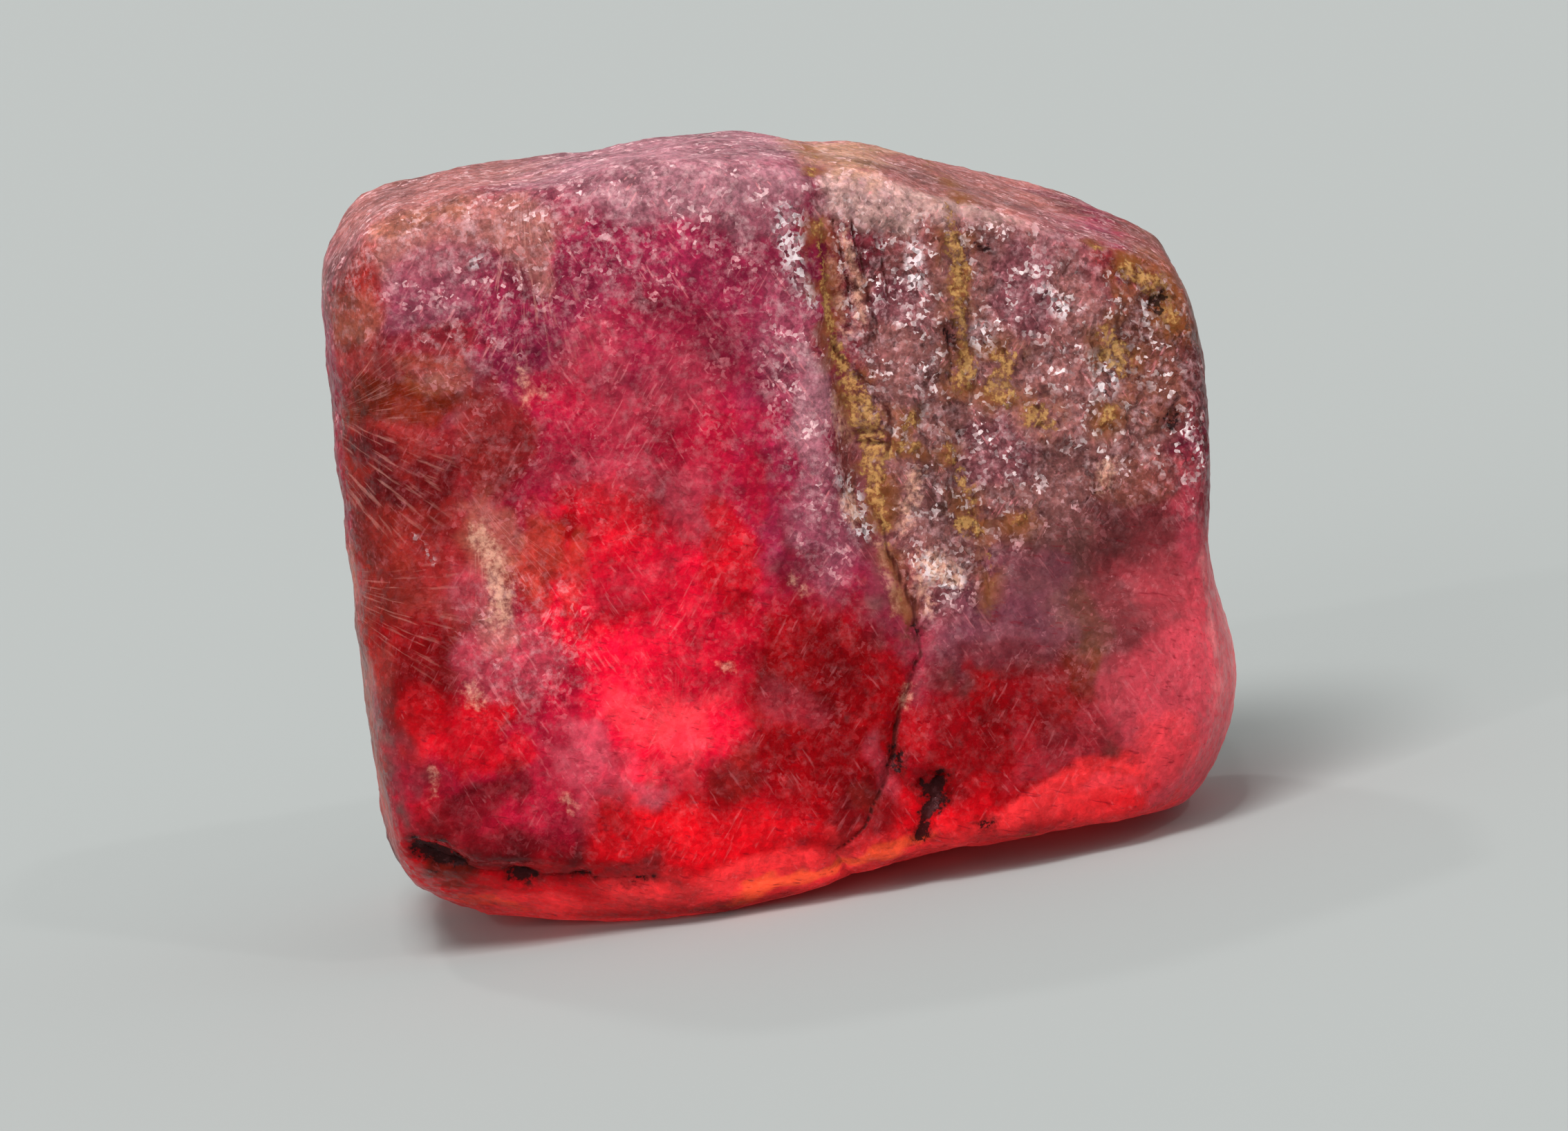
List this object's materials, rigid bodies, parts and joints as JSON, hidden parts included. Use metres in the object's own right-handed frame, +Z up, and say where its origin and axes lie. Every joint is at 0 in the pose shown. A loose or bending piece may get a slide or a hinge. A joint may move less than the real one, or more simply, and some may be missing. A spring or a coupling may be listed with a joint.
{
  "type": "raw ruby crystal",
  "caption": "Rough, water-worn piece of ruby with a rounded lobe and a stained parting seam, resting on its own flat underside.",
  "frame": {"origin": "centre of the stone's bounding box at the level of the flat underside it rests on", "axes": "+X along the crystal's main axis, towards the end with the rounded lobe; +Y from the front with the stained seam to the back; +Z up"},
  "size_m": [0.0212, 0.0152, 0.0181],
  "materials": {
    "ruby": "translucent raspberry-red corundum with a frosted, worn skin, whitish fracture sparkle and ochre-brown stain along the seams"
  },
  "bodies": {
    "root": {"ruby_crystal": "ruby"}
  },
  "joints": []
}
